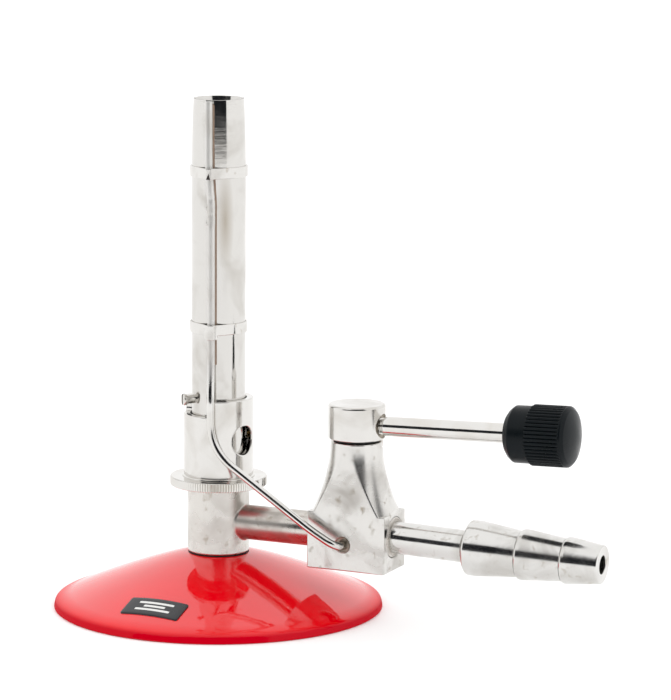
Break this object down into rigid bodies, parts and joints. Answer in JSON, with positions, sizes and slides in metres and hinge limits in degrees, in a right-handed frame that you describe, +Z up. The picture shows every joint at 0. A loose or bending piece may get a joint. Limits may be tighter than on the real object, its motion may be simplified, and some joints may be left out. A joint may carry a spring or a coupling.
{
  "type": "bunsen burner",
  "caption": "Laboratory gas burner: domed round base, upright tube with turning air sleeve, side pipe with quarter-turn lever cock, barbed hose nozzle and a thin pilot tube.",
  "frame": {"origin": "centre of the base's underside, on the burner tube's axis", "axes": "+Z up along the burner tube, +X along the gas line towards the hose nozzle, +Y completes the right hand"},
  "size_m": [0.1568, 0.09, 0.1394],
  "materials": {
    "nickel_plate": "polished nickel plate",
    "red_enamel": "glossy red enamel on cast iron",
    "black_plastic": "satin black phenolic",
    "label_black": "black plate with plain light marks",
    "brass": "turned brass",
    "rubber": "matte black rubber",
    "fibre": "red vulcanised fibre",
    "spring_steel": "plain spring steel"
  },
  "bodies": {
    "burner": {"base": "red_enamel", "label_plate": "label_black", "hub": "nickel_plate", "hub_gasket": "rubber", "jet_washer": "fibre", "gas_jet": "brass", "burner_tube": "nickel_plate", "stop_screw": "nickel_plate", "side_arm": "nickel_plate", "inlet_stem": "nickel_plate", "stem_seal": "nickel_plate", "hose_nozzle": "nickel_plate", "valve_body": "nickel_plate", "pilot_tube": "nickel_plate", "upper_clip": "nickel_plate", "lower_clip": "nickel_plate"},
    "air_regulator": {"air_sleeve": "nickel_plate", "knurled_ring": "nickel_plate"},
    "gas_cock": {"valve_plug": "brass", "plug_washer": "brass", "plug_spring": "spring_steel", "plug_screw": "brass", "valve_cap": "nickel_plate", "stop_pin": "nickel_plate", "lever_rod": "nickel_plate", "lever_knob": "black_plastic"}
  },
  "joints": [
    {"name": "air_regulator_turn", "type": "hinge", "parent": "burner", "child": "air_regulator", "pos_m": [0, 0, 0.045], "axis": [0, 0, 1], "range_deg": [-40, 32]},
    {"name": "gas_cock_turn", "type": "hinge", "parent": "burner", "child": "gas_cock", "pos_m": [0.04115, 0, 0.045], "axis": [0, 0, 1], "range_deg": [0, 90]}
  ]
}
